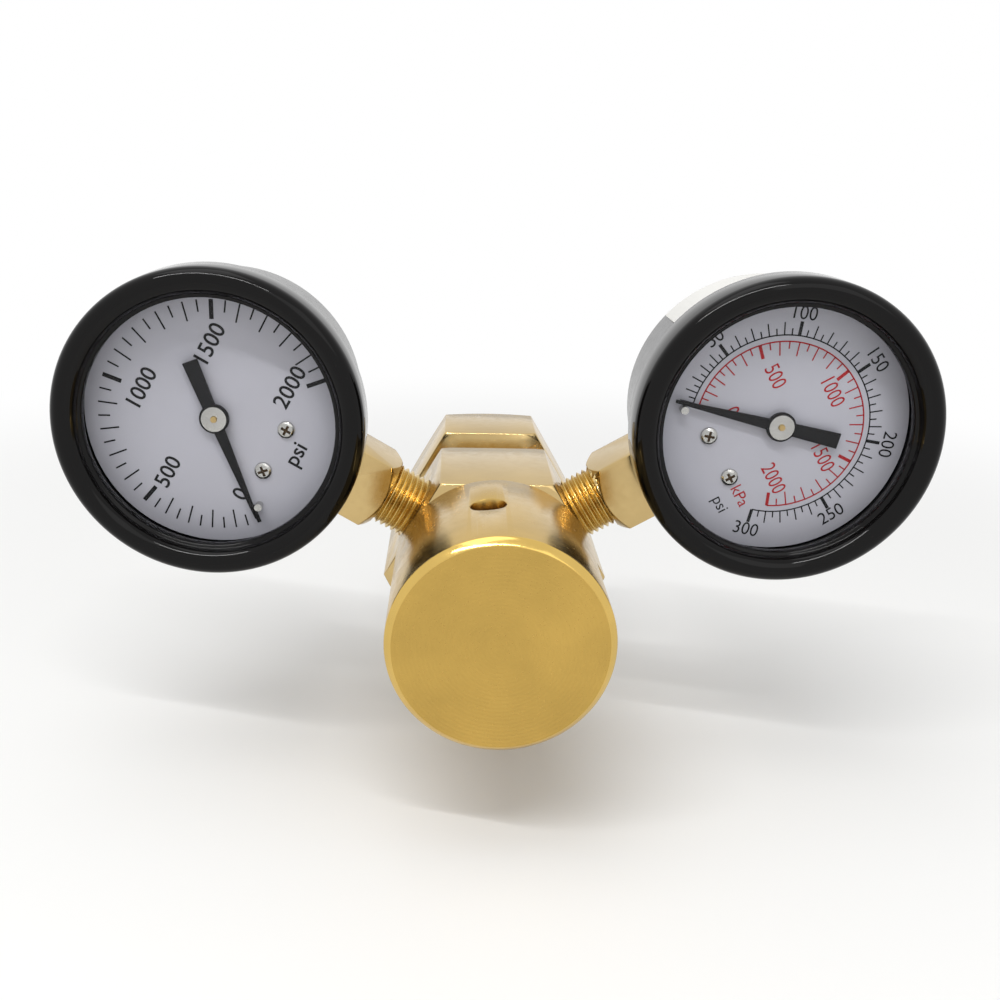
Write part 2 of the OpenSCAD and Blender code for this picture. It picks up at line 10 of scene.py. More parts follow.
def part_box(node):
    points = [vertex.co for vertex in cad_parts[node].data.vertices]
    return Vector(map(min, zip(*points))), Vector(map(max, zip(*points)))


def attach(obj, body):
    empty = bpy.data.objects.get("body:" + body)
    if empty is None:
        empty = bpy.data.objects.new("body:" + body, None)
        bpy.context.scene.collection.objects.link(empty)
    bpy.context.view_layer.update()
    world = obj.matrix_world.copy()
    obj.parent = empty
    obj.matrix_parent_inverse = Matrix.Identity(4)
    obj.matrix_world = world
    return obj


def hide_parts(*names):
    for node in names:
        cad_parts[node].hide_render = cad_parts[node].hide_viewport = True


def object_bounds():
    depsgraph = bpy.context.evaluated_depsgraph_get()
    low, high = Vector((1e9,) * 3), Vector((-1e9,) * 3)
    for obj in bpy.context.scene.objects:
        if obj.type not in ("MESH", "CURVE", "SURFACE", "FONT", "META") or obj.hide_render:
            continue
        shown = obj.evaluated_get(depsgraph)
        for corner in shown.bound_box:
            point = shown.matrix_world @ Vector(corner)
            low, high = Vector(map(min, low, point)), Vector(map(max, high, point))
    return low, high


bl_info = {
    "name": "Cylinder regulator looks",
    "version": (1, 0, 0),
    "blender": (4, 5, 0),
    "location": "3D View > Sidebar > Regulator",
    "description": "Finishes and details a two-gauge regulator around its packed frame",
    "category": "Object",
}

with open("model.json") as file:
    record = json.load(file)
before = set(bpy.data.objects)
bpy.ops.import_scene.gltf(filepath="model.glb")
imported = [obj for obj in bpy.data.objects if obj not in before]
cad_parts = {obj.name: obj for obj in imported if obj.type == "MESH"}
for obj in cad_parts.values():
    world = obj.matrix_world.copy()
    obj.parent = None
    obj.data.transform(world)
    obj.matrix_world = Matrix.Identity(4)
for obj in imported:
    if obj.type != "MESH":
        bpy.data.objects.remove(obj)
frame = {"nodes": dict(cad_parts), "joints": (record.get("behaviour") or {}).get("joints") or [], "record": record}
CAD_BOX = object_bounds()
NODES = frame["nodes"]
RECORD = frame["record"]
BODY_OF = {n: b for b, nodes in RECORD["behaviour"]["bodies"].items() for n in nodes}
SLOT_OF = {row["node"]: row["material_slot"] for row in RECORD["subparts"]}
MM = 0.001
MICRON = 0.001 * MM
SIDES = ("left", "right")


def gauge_centre(side):
    """The point on a gauge's arbor that its pointer turns about."""
    for joint in frame["joints"]:
        if joint["child"] == f"{side}_pointer":
            return Vector(joint["pos_m"])
    raise RuntimeError(f"no pointer joint on the {side}")


def gauge_turn(side):
    """The gauge's lean about Y: its 12 o'clock points away from the regulator's axis."""
    centre = gauge_centre(side)
    return math.atan2(centre.x, centre.z)


def linear(code):
    """The linear colour of an sRGB hex value."""
    parts = [int(code[i : i + 2], 16) / 255 for i in (1, 3, 5)]
    curve = [c / 12.92 if c <= 0.04045 else ((c + 0.055) / 1.055) ** 2.4 for c in parts]
    return (*curve, 1.0)


def colour(name, description, code):
    return bpy.props.FloatVectorProperty(
        name=name, description=description, subtype="COLOR", size=4, min=0, max=1,
        default=linear(code),
    )


def length(name, description, millimetres):
    return bpy.props.FloatProperty(
        name=name, description=description, unit="LENGTH", default=millimetres * MM, min=0,
    )


def power(name, description, watts):
    return bpy.props.FloatProperty(
        name=name, description=description, unit="POWER", default=watts, min=0,
    )


class RegulatorColours(bpy.types.PropertyGroup):
    brass: colour("Brass", "Milled faces of the body, nut and stems", "#CDB27C")
    side: colour("Turned brass", "Side of the bonnet", "#D0AF68")
    bonnet: colour("Faced brass", "Faced end of the bonnet", "#C6A356")
    # The chamfer colour is lighter than the same brass on the bonnet's side: a painted highlight on top of its
    # real polish.
    chamfer: colour("Polished brass", "Chamfer round the bonnet's end", "#DDBA68")
    thread: colour("Thread brass", "Threads, which hold a film of oil", "#D8BA74")
    steel: colour("Steel", "Springs, screws and pins", "#C9C8C4")
    # The recess colour is painted shade: a dark brown standing in for the shade inside the screws' cross recess.
    recess: colour("Recess", "Cross recess of the dial screws", "#5A4A3A")
    enamel: colour("Enamel", "Gauge cases and bezels", "#0B0A0A")
    # The dial colour is a cool grey darker than the dial's own white: painted shade.
    dial: colour("Dial", "Lacquered dial face", "#C6C6D0")
    ink: colour("Ink", "Dial printing and pointers", "#161517")
    red_ink: colour("Red ink", "Second scale", "#B3262B")
    rubber: colour("Rubber", "Seals and gaskets", "#1D1C1B")
    bronze: colour("Bronze", "Pressure tubes and sintered parts", "#B4763F")
    washer: colour("Washer", "Sealing washer", "#E6E3DA")
    window: colour("Window", "Tint of the clear windows", "#1C2024")
    label: colour("Label", "Bare paper label on a case", "#E9E8E4")
    floor: colour("Floor", "Studio floor", "#F4F4F3")


class RegulatorSizes(bpy.types.PropertyGroup):
    broken_edge: length("Broken edge", "Bevel on machined edges", 0.16)
    fine_edge: length("Fine edge", "Bevel on small stamped parts", 0.05)
    bezel_round: length("Bezel round", "Radius of the bezel's rear edges", 0.3)
    thread_pitch: length("Thread pitch", "Pitch of the stem thread", 25.4 / 27)
    nut_pitch: length("Nut pitch", "Pitch of the nut's straight thread", 25.4 / 14)
    nut_depth: length("Nut depth", "Depth of the nut's thread", 0.9)
    thread_depth: length("Thread depth", "Depth of the stem thread", 0.55)
    ink_film: length("Ink film", "Height of the printing over the dial", 0.02)
    numeral: length("Numeral height", "Height of the dial numerals", 2.4)
    numeral_weight: length("Numeral weight", "Width added round each numeral stroke", 0.04)


class RegulatorLight(bpy.types.PropertyGroup):
    key_power: power("Key power", "Overhead softbox", 1.2)
    fill_power: power("Fill power", "Front softbox", 0.4)
    strip_power: power("Strip power", "Narrow lamp that edges the bezels", 1.5)
    ambient: bpy.props.FloatProperty(
        name="Ambient", description="Level of the even light from all round", default=0.62, min=0,
    )


def sizes():
    return bpy.context.scene.regulator_sizes


# Materials


def add_node(tree, kind, inputs=None, **settings):
    """Adds one node with its settings, and fills or links its inputs."""
    node = tree.nodes.new(kind)
    for key, value in settings.items():
        setattr(node, key, value)
    for key, value in (inputs or {}).items():
        if isinstance(value, bpy.types.NodeSocket):
            tree.links.new(value, node.inputs[key])
        else:
            node.inputs[key].default_value = value
    return node


def surface(name, **constants):
    """A node material with one surface shader, whose constants are set on its own sockets."""
    made = bpy.data.materials.new(name)
    made.use_nodes = True
    tree = made.node_tree
    tree.nodes.clear()
    shader = add_node(tree, "ShaderNodeBsdfPrincipled")
    for key, value in constants.items():
        shader.inputs[key.replace("_", " ")].default_value = value
    add_node(tree, "ShaderNodeOutputMaterial", {"Surface": shader.outputs["BSDF"]})
    place = add_node(tree, "ShaderNodeTexCoord").outputs["Object"]
    return made, tree, shader, place


# Noise keeps near the middle of 0 to 1, so this part of its range is spread over the new one.
MIDDLE = {"From Min": 0.3, "From Max": 0.7}
METAL_GLOSS = (0.8, 1.25)  # least and greatest roughness over a metal, as shares of its own
COATING_GLOSS = (0.9, 1.15)  # the same over a coating
WINDOW_GLOSS = (0.02, 0.05)  # least and greatest roughness of the windows
STAINED = 0.86  # share of a metal's colour that its stain leaves
MOTTLE_SIZE = 14 * MM
FLOW_SIZE = 20 * MM
WAVE_LINE = 2 * math.pi / 20  # a wave texture's spacing of lines at a scale of 1


def darker(shade, level):
    return (*(c * level for c in shade[:3]), 1.0)


def weather(tree, shader, place, shade, dark, cloud, grain, low, high):
    """A stain in the colour, of size cloud, and a fine grain in the gloss. Gives the grain."""
    stain = add_node(
        tree, "ShaderNodeTexNoise", {"Vector": place, "Scale": 1 / cloud, "Detail": 3.0}
    ).outputs["Fac"]
    amount = add_node(tree, "ShaderNodeMapRange", {"Value": stain, **MIDDLE}).outputs["Result"]
    # A colour mix has its factor at 0 and its two colours at 6 and 7, and gives its colour at 2.
    blend = add_node(tree, "ShaderNodeMix", {0: amount, 6: dark, 7: shade}, data_type="RGBA")
    tree.links.new(blend.outputs[2], shader.inputs["Base Color"])
    fine = add_node(
        tree, "ShaderNodeTexNoise", {"Vector": place, "Scale": 1 / grain, "Detail": 3.0}
    ).outputs["Fac"]
    gloss = add_node(
        tree, "ShaderNodeMapRange", {"Value": fine, **MIDDLE, "To Min": low, "To Max": high}
    )
    tree.links.new(gloss.outputs["Result"], shader.inputs["Roughness"])
    return fine


def metal(name, shade, roughness, cloud, grain, depth, ring=0.0, stretch=0.0, feed=0.0):
    """Bare metal with a stain and cutter grain, cloud and grain in mm, depth in microns. ring is
    the pitch in mm of rings on a faced end, and feed that of the cutter's lines along a side."""
    made, tree, shader, place = surface(name, Metallic=1.0, Anisotropic=stretch)
    if stretch:
        round_y = add_node(tree, "ShaderNodeTangent", direction_type="RADIAL", axis="Y")
        tree.links.new(round_y.outputs["Tangent"], shader.inputs["Tangent"])
    low, high = (roughness * share for share in METAL_GLOSS)
    dark = darker(shade, STAINED)
    fine = weather(tree, shader, place, shade, dark, cloud * MM, grain * MM, low, high)
    height = fine
    if ring or feed:
        lines = {
            "Vector": place, "Scale": WAVE_LINE / ((ring or feed) * MM),
            "Distortion": 1.6, "Detail": 4.0, "Detail Scale": 1.5,
        }
        cuts = add_node(
            tree, "ShaderNodeTexWave", lines, wave_type="RINGS" if ring else "BANDS",
            rings_direction="Y", bands_direction="Y",
        ).outputs["Fac"]
        height = add_node(tree, "ShaderNodeMath", {0: cuts, 1: fine}, operation="ADD").outputs[0]
    relief = {"Height": height, "Strength": 0.6, "Distance": depth * MICRON}
    bump = add_node(tree, "ShaderNodeBump", relief)
    tree.links.new(bump.outputs["Normal"], shader.inputs["Normal"])
    return made


def coating(name, shade, roughness, grain, depth, ior=1.5, gloss=0.5, mottle=0.94):
    """Paint, lacquer, ink, rubber or paper: a plain colour, grain in mm and depth in microns."""
    made, tree, shader, place = surface(name, IOR=ior, Specular_IOR_Level=gloss)
    low, high = (roughness * share for share in COATING_GLOSS)
    dark = darker(shade, mottle)
    fine = weather(tree, shader, place, shade, dark, MOTTLE_SIZE, grain * MM, low, high)
    relief = {"Height": fine, "Strength": 0.4, "Distance": depth * MICRON}
    bump = add_node(tree, "ShaderNodeBump", relief)
    tree.links.new(bump.outputs["Normal"], shader.inputs["Normal"])
    return made


def clear(name, shade):
    """Clear acrylic: nearly all light passes, and faint moulding flow shows only in its gloss."""
    made, tree, shader, place = surface(name, IOR=1.49, Alpha=0.06)
    shader.inputs["Base Color"].default_value = shade
    flow = add_node(
        tree, "ShaderNodeTexNoise", {"Vector": place, "Scale": 1 / FLOW_SIZE, "Detail": 3.0}
    ).outputs["Fac"]
    low, high = WINDOW_GLOSS
    gloss = add_node(
        tree, "ShaderNodeMapRange", {"Value": flow, **MIDDLE, "To Min": low, "To Max": high}
    )
    tree.links.new(gloss.outputs["Result"], shader.inputs["Roughness"])
    return made


# Each finish: its material's name, its maker, its colour setting and the maker's other values.
FINISHES = {
    # Extruded hexagon brass, milled and wiped: soft gold reflections, darker where handled.
    "brass": ("milled_brass", metal, "brass", dict(roughness=0.2, cloud=11, grain=1.2, depth=1.6)),
    # Bar brass faced on a lathe: torn rings at three times the real feed, so that they show.
    "faced_brass": ("faced_brass", metal, "bonnet", dict(
        roughness=0.32, cloud=9, grain=0.4, depth=40, ring=0.6, stretch=0.65,
    )),
    # The same bar's turned side: finer feed, so that light only stretches along the bar.
    "turned_brass": ("turned_brass", metal, "side", dict(
        roughness=0.22, cloud=9, grain=1.5, depth=3, feed=0.4,
    )),
    # A chamfer cut with a fresh edge: nearly a mirror. Its colour is lighter than the side's brass, a painted
    # highlight.
    "polished_brass": ("polished_brass", metal, "chamfer", dict(
        roughness=0.14, cloud=9, grain=0.5, depth=0.8,
    )),
    # Cut thread with oil in its roots: deeper and a little duller than the flats.
    "thread_brass": ("cut_thread_brass", metal, "thread", dict(
        roughness=0.24, cloud=6, grain=0.3, depth=2,
    )),
    # Nickel-plated and stainless steel: cool grey with small sharp highlights.
    "steel": ("bright_steel", metal, "steel", dict(roughness=0.2, cloud=5, grain=0.3, depth=1.2)),
    # The screws' cross recess: brown and dull, painted shade that stands in for the shade inside the recess.
    "recess": ("tarnished_steel", metal, "recess", dict(
        roughness=0.5, cloud=2, grain=0.2, depth=4,
    )),
    # Phosphor bronze: redder than the brass, satin from drawing.
    "bronze": ("phosphor_bronze", metal, "bronze", dict(
        roughness=0.34, cloud=8, grain=0.3, depth=3,
    )),
    # Baked gloss enamel on steel: near black with a slight orange peel.
    "black_paint": ("gloss_enamel", coating, "enamel", dict(
        roughness=0.07, grain=1.8, depth=1.2, ior=1.52, gloss=0.16,
    )),
    # Lacquered tinplate dial: cool off-white, satin, set to a darker grey as painted shade.
    "dial_white": ("lacquered_dial", coating, "dial", dict(
        roughness=0.42, grain=0.5, depth=2, ior=1.48, gloss=0.4, mottle=0.97,
    )),
    # Matt black paint on the pointers, and printed ink.
    "pointer_black": ("matt_black_ink", coating, "ink", dict(
        roughness=0.5, grain=0.3, depth=1, gloss=0.3,
    )),
    "red_ink": ("printed_red_ink", coating, "red_ink", dict(
        roughness=0.5, grain=0.3, depth=1, gloss=0.3,
    )),
    # Moulded nitrile rubber: dark, soft sheen.
    "rubber": ("nitrile_rubber", coating, "rubber", dict(
        roughness=0.62, grain=0.25, depth=6, ior=1.52,
    )),
    # Pressed fibre washer: off-white and matt.
    "washer": ("pressed_fibre", coating, "washer", dict(roughness=0.7, grain=0.2, depth=10)),
    # Uncoated adhesive paper.
    "label": ("label_paper", coating, "label", dict(roughness=0.66, grain=0.15, depth=4)),
    # Moulded window, clear through.
    "window": ("clear_acrylic", clear, "window", {}),
}


def finish(key):
    """The material of one finish, made the first time that it is asked for."""
    name, make, tone, values = FINISHES[key]
    shade = getattr(bpy.context.scene.regulator_colours, tone)
    return bpy.data.materials.get(name) or make(name, shade, **values)


# Modelling helpers

WELD = 0.001 * MM  # vertices closer than this are one, in a CAD mesh
FINE_WELD = 0.0005 * MM  # the same in a swept piece
FLAT = math.radians(0.4)  # faces that turn by less than this are one


def select_only(piece):
    bpy.ops.object.select_all(action="DESELECT")
    piece.select_set(True)
    bpy.context.view_layer.objects.active = piece


def edit(piece):
    """Opens a piece in edit mode with everything selected."""
    select_only(piece)
    bpy.ops.object.mode_set(mode="EDIT")
    bpy.ops.mesh.select_all(action="SELECT")


def close_edit():
    bpy.ops.object.mode_set(mode="OBJECT")


def apply_place(piece):
    select_only(piece)
    bpy.ops.object.transform_apply(location=True, rotation=True, scale=True)


def soften(piece, width, segments=2, sharp=38):
    """Breaks the edges that turn by more than sharp degrees, and smooths the rest."""
    select_only(piece)
    if width:
        bevel = piece.modifiers.new("edges", "BEVEL")
        bevel.width = width
        bevel.segments = segments
        bevel.limit_method = "ANGLE"
        bevel.angle_limit = math.radians(sharp)
        bevel.use_clamp_overlap = False
        bpy.ops.object.modifier_apply(modifier=bevel.name)
    bpy.ops.object.shade_smooth_by_angle(angle=math.radians(sharp))


def merged_copy(node):
    """A copy of a CAD node's mesh with its loose triangles merged back into faces."""
    piece = bpy.data.objects.new(f"{node}_finished", NODES[node].data.copy())
    bpy.context.scene.collection.objects.link(piece)
    select_only(piece)
    bpy.ops.mesh.customdata_custom_splitnormals_clear()
    edit(piece)
    bpy.ops.mesh.remove_doubles(threshold=WELD)
    bpy.ops.mesh.dissolve_limited(angle_limit=FLAT)
    close_edit()
    return piece


def paint(piece, key):
    piece.data.materials.clear()
    piece.data.materials.append(finish(key))


def stand_for(piece, node, key=None):
    """piece rides where the node does, takes its slot and its finish, and hides it."""
    paint(piece, key or SLOT_OF[node])
    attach(piece, BODY_OF[node])
    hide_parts(node)


def outline(name, points):
    """A line of edges through points, extruded from one vertex."""
    bpy.ops.object.select_all(action="DESELECT")
    bpy.ops.mesh.primitive_plane_add(size=MM, location=points[0])
    piece = bpy.context.object
    piece.name = name
    edit(piece)
    bpy.ops.mesh.merge(type="CENTER")
    for before, after in zip(points, points[1:]):
        step = Vector(after) - Vector(before)
        bpy.ops.mesh.extrude_region_move(TRANSFORM_OT_translate={"value": step})
    close_edit()
    apply_place(piece)
    return piece


def screwed(name, profile, axis, steps, offset=0.0, turns=1):
    """Sweeps a profile round an axis: a turned piece, or a thread where offset is its pitch."""
    piece = outline(name, profile)
    screw = piece.modifiers.new("sweep", "SCREW")
    screw.axis = axis
    screw.steps = screw.render_steps = steps
    screw.screw_offset = offset
    screw.iterations = turns
    screw.use_merge_vertices = True
    screw.merge_threshold = FINE_WELD
    select_only(piece)
    bpy.ops.object.modifier_apply(modifier=screw.name)
    edit(piece)
    bpy.ops.mesh.remove_doubles(threshold=FINE_WELD)
    bpy.ops.mesh.fill_holes(sides=0)
    bpy.ops.mesh.normals_make_consistent(inside=False)
    close_edit()
    return piece


def on_gauge(master, side):
    """A copy, with its own mesh, of a piece modelled in a gauge's own frame, set on that gauge."""
    piece = bpy.data.objects.new(f"{side}_{master.name}", master.data.copy())
    bpy.context.scene.collection.objects.link(piece)
    piece.rotation_euler = (0, gauge_turn(side), 0)
    piece.location = gauge_centre(side)
    apply_place(piece)
    return piece


def remove(piece):
    bpy.data.objects.remove(piece)


def join(name, parts):
    bpy.ops.object.select_all(action="DESELECT")
    for part in parts:
        part.select_set(True)
    bpy.context.view_layer.objects.active = parts[0]
    bpy.ops.object.join()
    parts[0].name = name
    return parts[0]


# Pieces

MACHINED = {
    "body": "brass",
    "bonnet": "turned_brass",
    "slip_ring": "brass",
    "inlet_nut": "brass",
    "inlet_nipple": "brass",
    "outlet_barb": "brass",
}
SMALL = ("dial_screws", "stop_pin", "pointer", "pointer_hub")  # on each dial
SQUARE_END = 28.8  # mm from a gauge's centre to the end of its wrench square
STEM_END = 40.8  # mm from a gauge's centre to the end of its thread
# Where a thread's crest starts and ends and its flank comes down, as shares of the pitch.
STEM_TOOTH = (0.42, 0.54, 0.96)
NUT_RIDGE = (0.4, 0.52, 0.92)
STUD_OVERLAP = 0.1  # mm, how far the square is cut short of its end
THREAD_CREST = 5.12  # mm, radius
NUT_SETBACK = 1.1  # pitches between the nut's open end and the back of the ridge's last outline
ROOT_SINK = 0.1 * MM  # how far the nut's ridge runs into the wall of the bore
BONNET_CHAMFER = 1.2 * MM  # depth of the bright chamfer behind the bonnet's end
RECESS_DEPTHS = (0.1 * MM, 0.55 * MM)  # the recess floors lie between these behind a screw's head
# A face looks forward when the y of its normal is below these.
BONNET_FACING = -0.9
RECESS_FACING = -0.95
# Bezel ring in (radius, y) mm: lip, step inside the lip, rim and the bore that holds the window.
BEZEL = (
    (18.5, -13.72), (18.5, -15.1), (18.62, -15.3), (18.85, -15.4), (19.05, -15.5), (19.15, -15.7),
    (19.25, -16.05), (19.5, -16.42), (19.85, -16.75), (20.3, -17.02), (20.8, -17.17),
    (21.3, -17.19), (21.8, -17.07), (22.25, -16.8), (22.6, -16.4), (22.82, -15.9), (22.9, -15.3),
    (22.9, -9.5), (22.02, -9.5), (22.02, -13.72), (18.5, -13.72),
)


def make_machined():
    for node, key in MACHINED.items():
        piece = merged_copy(node)
        soften(piece, sizes().broken_edge)
        stand_for(piece, node, key)
        if node == "bonnet":
            dress_bonnet(piece)


def dress_bonnet(piece):
    """The bonnet's end is faced, the chamfer round it is bright, partly from a painted highlight in its lighter
    colour, and its side stays turned.
    """
    for key in ("faced_brass", "polished_brass"):
        piece.data.materials.append(finish(key))
    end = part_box("bonnet")[0].y
    for face in piece.data.polygons:
        if face.center.y < end + BONNET_CHAMFER:
            faced = face.normal.y < BONNET_FACING
            face.material_index = 1 if faced else 2


def make_shells():
    points = [(r * MM, y * MM, 0) for r, y in BEZEL]
    bezel = screwed("bezel_ring", points, "Y", steps=160)
    soften(bezel, sizes().bezel_round, segments=3, sharp=60)
    for side in SIDES:
        stand_for(on_gauge(bezel, side), f"{side}_bezel")
        case = merged_copy(f"{side}_case")
        soften(case, sizes().broken_edge)
        stand_for(case, f"{side}_case")
    remove(bezel)


def make_stems():
    size = sizes()
    pitch = size.thread_pitch
    crest = THREAD_CREST * MM
    root = crest - size.thread_depth
    turns = int((STEM_END - SQUARE_END) * MM / pitch)
    start = -SQUARE_END * MM - (turns - 1) * pitch
    rise, fall, foot = (start + share * pitch for share in STEM_TOOTH)
    tooth = (
        (root, 0, start), (crest, 0, rise), (crest, 0, fall), (root, 0, foot),
        (root, 0, start + pitch),
    )
    thread = screwed("stem_thread", tooth, "Z", 40, offset=pitch, turns=turns)
    soften(thread, 0, sharp=30)
    for side in SIDES:
        down = Matrix.Rotation(gauge_turn(side), 3, "Y") @ Vector((0, 0, -1))
        square = merged_copy(f"{side}_socket")
        edit(square)
        bpy.ops.mesh.bisect(
            plane_co=gauge_centre(side) + down * (SQUARE_END - STUD_OVERLAP) * MM,
            plane_no=down, use_fill=True, clear_outer=True,
        )
        close_edit()
        soften(square, size.broken_edge)
        stand_for(square, f"{side}_socket")
        stud = on_gauge(thread, side)
        paint(stud, "thread_brass")
        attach(stud, BODY_OF[f"{side}_socket"])
    remove(thread)


def make_nut_thread():
    """A helical ridge on the wall of the nut's bore, set back from both of its ends."""
    size = sizes()
    pitch = size.nut_pitch
    mount = next(m for m in RECORD["mounts"] if m["name"] == "inlet")
    wall = mount["dims"]["r_mm"] * MM
    turns = int(mount["dims"]["length_mm"] * MM / pitch) - 1
    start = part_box("inlet_nut")[1].y - (turns + NUT_SETBACK) * pitch
    crest = wall - size.nut_depth
    root = wall + ROOT_SINK
    rise, fall, foot = (start + share * pitch for share in NUT_RIDGE)
    ridge = (
        (root, start, 0), (crest, rise, 0), (crest, fall, 0), (root, foot, 0), (root, start, 0),
    )
    thread = screwed("nut_thread", ridge, "Y", 64, offset=pitch, turns=turns)
    soften(thread, 0, sharp=30)
    paint(thread, "thread_brass")
    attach(thread, BODY_OF["inlet_nut"])


def make_movements():
    """Pointers, hubs and stop pins get fine edges. A screw head keeps its recess sharp."""
    for side in SIDES:
        for part in SMALL:
            node = f"{side}_{part}"
            piece = merged_copy(node)
            soften(piece, 0 if part == "dial_screws" else sizes().fine_edge)
            stand_for(piece, node, "steel" if part == "pointer_hub" else None)
            # A screw's cross recess gets painted shade in a dark brown.
            if part == "dial_screws":
                darken_recess(piece)


def darken_recess(piece):
    """The floor of each cross recess faces forward and lies behind the screw's head. It gets painted shade in a
    dark brown.
    """
    piece.data.materials.append(finish("recess"))
    head = min(v.co.y for v in piece.data.vertices)
    shallow, deep = RECESS_DEPTHS
    for face in piece.data.polygons:
        if face.normal.y < RECESS_FACING and shallow < face.center.y - head < deep:
            face.material_index = 1


# Dial printing

DIAL_FRONT = -10.0  # mm, in a gauge's own frame
# Scale marks as (value, clockwise degrees from 12 o'clock); the first interval is shorter.
HIGH_MARKS = ((0, 220.3), (500, 281.5), (2000, 490.5))
LOW_MARKS = ((0, 223.0), (50, 260.0), (300, 492.0))
PSI_PER_KPA = 0.145038
# Numerals as (text, radius in mm, clockwise degrees from 12 o'clock), upright on the dial.
HIGH_NUMERALS = (
    ("0", 12.5, 225), ("500", 11.6, 281.5), ("1000", 11.6, 351.2), ("1500", 10.9, 418.5),
    ("2000", 12.3, 487.7), ("psi", 13.2, 175.3),
)
LOW_RED_NUMERALS = (
    ("0", 7.7, 225), ("500", 7.6, 289), ("1000", 9.1, 354), ("1500", 8.5, 424),
    ("2000", 8.4, 480.6),
)
LOW_UNIT = ("psi", 14.9, 152)
LOW_RED_UNIT = ("kPa", 12.3, 144)
HIGH_RIM = 17.6  # mm, outer ends of the marks
LOW_ARC = 13.7  # mm, black marks stand outside it
LOW_RED_ARC = 12.75  # mm, red marks hang inside it
LOW_NUMERALS = 17.0  # mm, radius of the black numerals
# Lettering of the right dial: its height as a share of the numeral height, and its narrowing.
LOW_TYPE = (0.85, 0.95)
LOW_RED_TYPE = (0.95, 0.78)
UNIT_TYPE = (0.75, 1.0)
# The bold, middle and short marks of each scale as (length, width) mm; a minus runs inwards.
HIGH_STROKES = ((-2.9, 0.65), (-2.9, 0.25), (-1.8, 0.25))
LOW_STROKES = ((2.1, 0.5), (1.9, 0.2), (1.0, 0.2))
LOW_RED_STROKES = ((-2.1, 0.5), (-2.1, 0.2), (-1.1, 0.2))
ARC_WIDTH = 0.2  # mm
RED_ARC_WIDTH = 0.22  # mm
CAP_SHARE = 0.7  # height of a figure as a share of its type size


def dial_angle(value, marks):
    """The angle of a value, between the two marks of the table that it lies between."""
    for (low, start), (high, end) in zip(marks, marks[1:]):
        if value <= high:
            break
    return math.radians(start + (value - low) / (high - low) * (end - start))


def printed(name, loop):
    """A film of ink with a flat outline, given as (x, z) in metres on the dial. It starts half a
    film inside the dial's face and stands a whole film out of it, as the lettering does."""
    film = sizes().ink_film
    front = DIAL_FRONT * MM + film / 2
    piece = outline(name, [(x, front, z) for x, z in loop])
    edit(piece)
    bpy.ops.mesh.edge_face_add()
    bpy.ops.mesh.extrude_region_move(TRANSFORM_OT_translate={"value": (0, -1.5 * film, 0)})
    bpy.ops.mesh.select_all(action="SELECT")
    bpy.ops.mesh.normals_make_consistent(inside=False)
    close_edit()
    return piece


def ticks(angles, inner, outer, width):
    """Radial marks: one is modelled at 12 o'clock, and the rest are copies of it."""
    w = width / 2 * MM
    low, high = inner * MM, outer * MM
    first = printed("tick", [(-w, low), (w, low), (w, high), (-w, high)])
    made = []
    for angle in angles:
        tick = bpy.data.objects.new("tick", first.data.copy())
        bpy.context.scene.collection.objects.link(tick)
        tick.rotation_euler = (0, angle, 0)
        made.append(tick)
    remove(first)
    return made


def scale_marks(angle_of, bold, middle, ring, strokes):
    """Marks from a ring: bold at each multiple of bold, middle at the other multiples of middle,
    and short at the rest. strokes holds the length and width of each kind."""
    kinds = (
        [a for v, a in angle_of.items() if v % bold == 0],
        [a for v, a in angle_of.items() if v % bold and v % middle == 0],
        [a for v, a in angle_of.items() if v % middle],
    )
    made = []
    for angles, (reach, width) in zip(kinds, strokes):
        made += ticks(angles, min(ring, ring + reach), max(ring, ring + reach), width)
    return made


def arc(radius, start, end, width):
    """A printed arc with a point each two degrees."""
    count = int(math.degrees(end - start) / 2)
    steps = [start + (end - start) * i / count for i in range(count + 1)]
    outer, inner = (radius + width / 2) * MM, (radius - width / 2) * MM
    loop = [(outer * math.sin(a), outer * math.cos(a)) for a in steps]
    loop += [(inner * math.sin(a), inner * math.cos(a)) for a in reversed(steps)]
    return printed("arc", loop)


def word(text, radius, angle, height, narrow=1.0, turn=0.0, weight=0.0):
    """Lettering on the dial, turned clockwise by turn. It is made a mesh before it is placed."""
    bpy.ops.object.select_all(action="DESELECT")
    bpy.ops.object.text_add()
    piece = bpy.context.object
    piece.data.body = text
    piece.data.size = height / CAP_SHARE
    piece.data.extrude = sizes().ink_film * 0.75
    piece.data.offset = weight
    piece.data.align_x = "CENTER"
    piece.data.align_y = "CENTER"
    piece.data.resolution_u = 4
    bpy.ops.object.convert(target="MESH")
    piece = bpy.context.object
    piece.scale = (narrow, 1, 1)
    piece.rotation_euler = (math.pi / 2, turn, 0)
    y = DIAL_FRONT * MM - sizes().ink_film * 0.25
    piece.location = (radius * MM * math.sin(angle), y, radius * MM * math.cos(angle))
    apply_place(piece)
    return piece


def print_on(side, name, parts, key):
    """Joins the printing of one colour and sets it on its dial."""
    for part in parts:
        apply_place(part)
    master = join(name, parts)
    piece = on_gauge(master, side)
    paint(piece, key)
    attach(piece, BODY_OF[f"{side}_dial"])
    remove(master)


def print_high_scale():
    """Cylinder pressure: 0 to 2000 in one ring of marks, with numerals inside it."""
    angle_of = {v: dial_angle(v, HIGH_MARKS) for v in range(0, 2001, 50)}
    parts = scale_marks(angle_of, 500, 100, HIGH_RIM, HIGH_STROKES)
    heavy = sizes().numeral_weight
    for text, radius, angle in HIGH_NUMERALS:
        parts.append(word(text, radius, math.radians(angle), sizes().numeral, weight=heavy))
    print_on("left", "high_scale", parts, "pointer_black")


def low_word(text, radius, angle, style, turn=0.0):
    """Lettering of the right dial in one of its styles."""
    share, narrow = style
    return word(text, radius, angle, sizes().numeral * share, narrow, turn)


